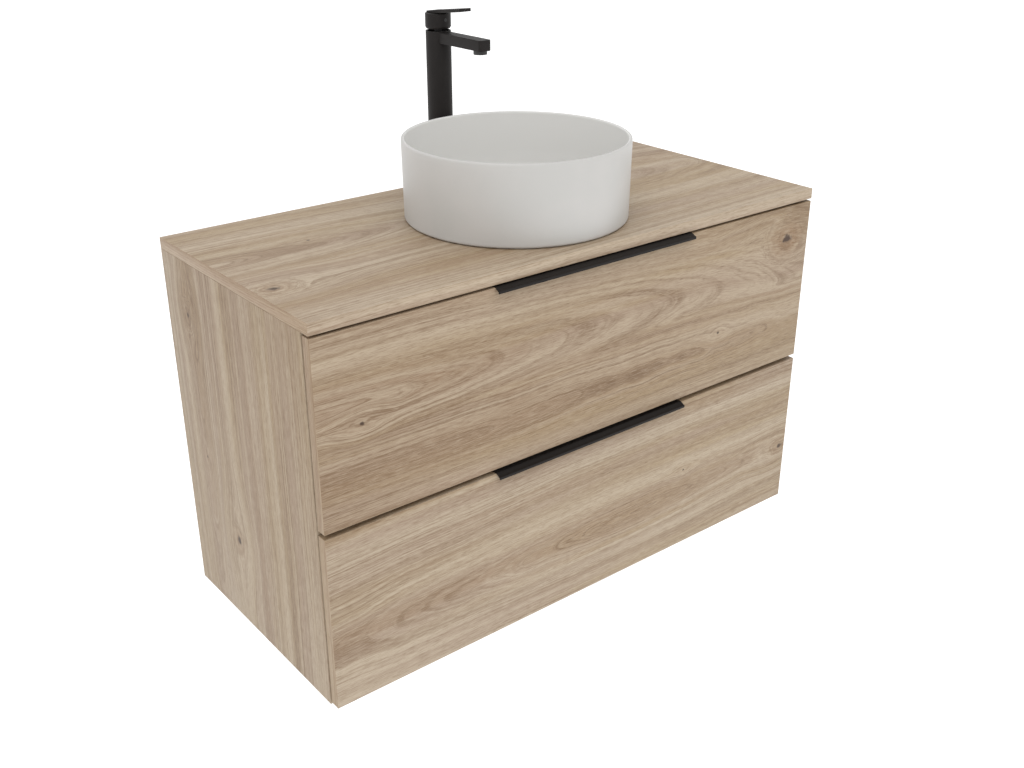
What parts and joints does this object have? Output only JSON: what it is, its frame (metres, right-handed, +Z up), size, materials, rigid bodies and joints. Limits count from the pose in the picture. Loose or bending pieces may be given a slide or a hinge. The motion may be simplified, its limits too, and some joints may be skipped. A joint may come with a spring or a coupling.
{
  "type": "wall-hung vanity with vessel sink",
  "caption": "Wall-hung vanity unit with a round vessel basin, a tall single-lever tap with a swivelling, lifting lever, and full-width sliding drawers with edge-pull handles.",
  "frame": {"origin": "middle of the upper rear rail's back face, where the unit bears on the wall", "axes": "+X to the right along the wall, +Y into the wall, +Z up; the drawer fronts face -Y"},
  "size_m": [1, 0.459, 0.925],
  "materials": {
    "oak_laminate": "light oak woodgrain laminate",
    "drawer_board": "grey melamine-faced board",
    "dowel_wood": "beech",
    "white_ceramic": "matt off-white",
    "black_metal": "matt black powder coat on brass",
    "black_aluminium": "matt black powder coat",
    "black_plastic": "matt black",
    "zinc_steel": "zinc plated",
    "coated_steel": "light grey coating",
    "white_plastic": "white polypropylene",
    "brass_body": "matt black coat",
    "rubber_seal": "plain",
    "silicone": "translucent white"
  },
  "bodies": {
    "cabinet": {"countertop": "oak_laminate", "side_left": "oak_laminate", "side_right": "oak_laminate", "bottom_panel": "drawer_board", "rear_rail_lower": "drawer_board", "rear_rail_upper": "drawer_board", "front_stretcher": "drawer_board", "carcass_dowels": "dowel_wood", "countertop_screws": "zinc_steel", "wall_plate_left": "zinc_steel", "hanger_left": "zinc_steel", "wall_plate_right": "zinc_steel", "hanger_right": "zinc_steel", "basin": "white_ceramic", "basin_seal": "silicone", "waste_body": "brass_body", "waste_gasket": "rubber_seal", "waste_nut": "zinc_steel", "trap_inlet_nut": "white_plastic", "trap_body": "white_plastic", "trap_cup": "white_plastic", "trap_outlet_nut": "white_plastic", "trap_outlet_pipe": "white_plastic", "tap_body": "black_metal", "tap_base_seal": "rubber_seal", "tap_aerator": "black_plastic", "tap_stud": "zinc_steel", "tap_clamp_plate": "zinc_steel", "tap_stud_nut": "zinc_steel", "tap_cartridge": "black_plastic", "cartridge_nut": "zinc_steel", "upper_cabinet_runner_left": "zinc_steel", "upper_cabinet_runner_right": "zinc_steel", "lower_cabinet_runner_left": "zinc_steel", "lower_cabinet_runner_right": "zinc_steel"},
    "upper_drawer": {"upper_drawer_side_left": "coated_steel", "upper_drawer_side_right": "coated_steel", "upper_handle": "black_aluminium", "upper_handle_screws": "zinc_steel", "upper_drawer_front": "oak_laminate", "upper_drawer_bottom": "drawer_board", "upper_drawer_back_left": "drawer_board", "upper_drawer_back_right": "drawer_board", "upper_drawer_recess": "drawer_board"},
    "lower_drawer": {"lower_drawer_side_left": "coated_steel", "lower_drawer_side_right": "coated_steel", "lower_handle": "black_aluminium", "lower_handle_screws": "zinc_steel", "lower_drawer_front": "oak_laminate", "lower_drawer_bottom": "drawer_board", "lower_drawer_back": "drawer_board"},
    "upper_runner": {"upper_middle_runners": "zinc_steel"},
    "lower_runner": {"lower_middle_runners": "zinc_steel"},
    "tap_swivel": {"lever_carrier": "zinc_steel"},
    "tap_handle": {"tap_lever": "black_metal", "lever_screw": "zinc_steel", "lever_plug": "black_plastic"},
    "waste_plug": {"plug_cap": "brass_body", "plug_seal": "rubber_seal"}
  },
  "joints": [
    {"name": "upper_drawer_slide", "type": "slide", "parent": "cabinet", "child": "upper_drawer", "axis": [0, -1, 0], "range_m": [0, 0.35]},
    {"name": "upper_runner_slide", "type": "slide", "parent": "cabinet", "child": "upper_runner", "axis": [0, -1, 0], "range_m": [0, 0.175]},
    {"name": "lower_drawer_slide", "type": "slide", "parent": "cabinet", "child": "lower_drawer", "axis": [0, -1, 0], "range_m": [0, 0.35]},
    {"name": "lower_runner_slide", "type": "slide", "parent": "cabinet", "child": "lower_runner", "axis": [0, -1, 0], "range_m": [0, 0.175]},
    {"name": "tap_temperature", "type": "hinge", "parent": "cabinet", "child": "tap_swivel", "pos_m": [0, -0.043, 0.353], "axis": [0, 0, 1], "range_deg": [-45, 45]},
    {"name": "tap_flow", "type": "hinge", "parent": "tap_swivel", "child": "tap_handle", "pos_m": [0, -0.043, 0.353], "axis": [-1, 0, 0], "range_deg": [0, 12]},
    {"name": "waste_plug_lift", "type": "slide", "parent": "cabinet", "child": "waste_plug", "axis": [0, 0, 1], "range_m": [0, 0.008]}
  ],
  "couplings": [
    {"joint": "upper_runner_slide", "follows": "upper_drawer_slide", "ratio": 0.5},
    {"joint": "lower_runner_slide", "follows": "lower_drawer_slide", "ratio": 0.5}
  ]
}
